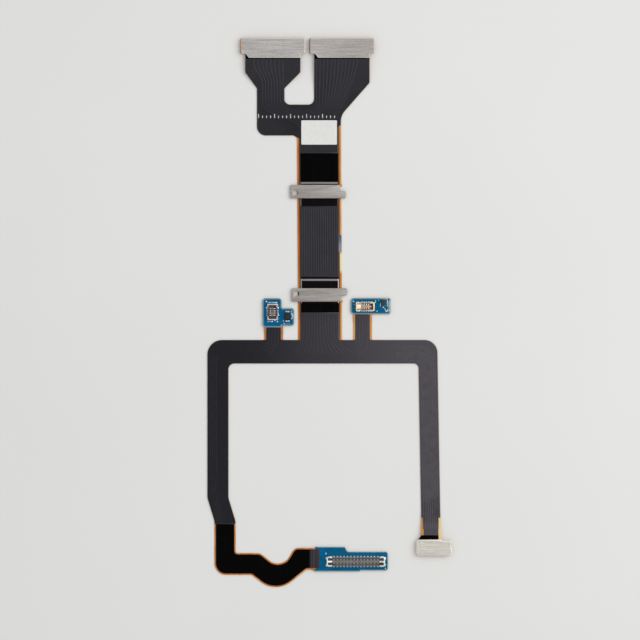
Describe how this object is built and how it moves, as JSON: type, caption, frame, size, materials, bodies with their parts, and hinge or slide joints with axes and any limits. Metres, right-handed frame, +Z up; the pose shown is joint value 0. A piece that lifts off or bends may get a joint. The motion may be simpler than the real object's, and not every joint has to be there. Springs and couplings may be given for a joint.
{
  "type": "flat flex cable",
  "caption": "Branched flat flex cable with board plugs and sockets at its ends, steel stiffeners, hinge brackets on the ribbon and a U-shaped frame that carries signals across a hinge.",
  "frame": {"origin": "middle of the cable's footprint on the table it lies on", "axes": "+Z up from the table, +Y along the ribbon towards the two wide plugs, +X to the right with the sockets facing up"},
  "size_m": [0.055, 0.1234, 0.0011],
  "materials": {
    "amber_film": "smooth glossy polyimide",
    "shield_film": "satin dark grey film with fine trace lines",
    "black_coverlay": "matte black",
    "blue_mask": "glossy solder mask",
    "board_resin": "glass resin sheet",
    "plate_steel": "brushed along its length",
    "bracket_steel": "brushed along its length",
    "pale_tape": "matte",
    "label": "matte",
    "housing_plastic": "moulded, cream",
    "contact_metal": "gold plated",
    "fitting_metal": "gold plated",
    "chip_body": "matte black",
    "solder": "tinned"
  },
  "bodies": {
    "root": {"base_film": "amber_film", "edge_film_tab": "shield_film", "left_branch_chip_body": "chip_body", "left_branch_chip_terminals": "solder", "left_branch_mask": "blue_mask", "left_branch_pads": "solder", "left_branch_socket_contacts": "contact_metal", "left_branch_socket_fittings": "fitting_metal", "left_branch_socket_housing": "housing_plastic", "left_branch_stiffener": "board_resin", "left_top_plug_contacts": "contact_metal", "left_top_plug_fittings": "fitting_metal", "left_top_plug_housing": "housing_plastic", "left_top_stiffener": "plate_steel", "leg_end_coverlay": "black_coverlay", "lower_bracket_tape": "pale_tape", "lower_hinge_bracket": "bracket_steel", "lower_right_plug_contacts": "contact_metal", "lower_right_plug_fittings": "fitting_metal", "lower_right_plug_housing": "housing_plastic", "lower_right_stiffener": "plate_steel", "lower_shield_film": "shield_film", "lower_tape_cover": "black_coverlay", "middle_shield_film": "shield_film", "ribbon_coverlay": "black_coverlay", "right_branch_chip_body": "chip_body", "right_branch_chip_terminals": "solder", "right_branch_mask": "blue_mask", "right_branch_pads": "solder", "right_branch_socket_contacts": "contact_metal", "right_branch_socket_fittings": "fitting_metal", "right_branch_socket_housing": "housing_plastic", "right_branch_stiffener": "board_resin", "right_top_plug_contacts": "contact_metal", "right_top_plug_fittings": "fitting_metal", "right_top_plug_housing": "housing_plastic", "right_top_stiffener": "plate_steel", "tail_board_mask": "blue_mask", "tail_board_pads": "solder", "tail_board_stiffener": "board_resin", "tail_coverlay": "black_coverlay", "tail_end_film": "shield_film", "tail_socket_contacts": "contact_metal", "tail_socket_fittings": "fitting_metal", "tail_socket_housing": "housing_plastic", "upper_bracket_tape": "pale_tape", "upper_hinge_bracket": "bracket_steel", "upper_shield_film": "shield_film", "upper_tape_cover": "black_coverlay", "white_label": "label"}
  },
  "joints": []
}
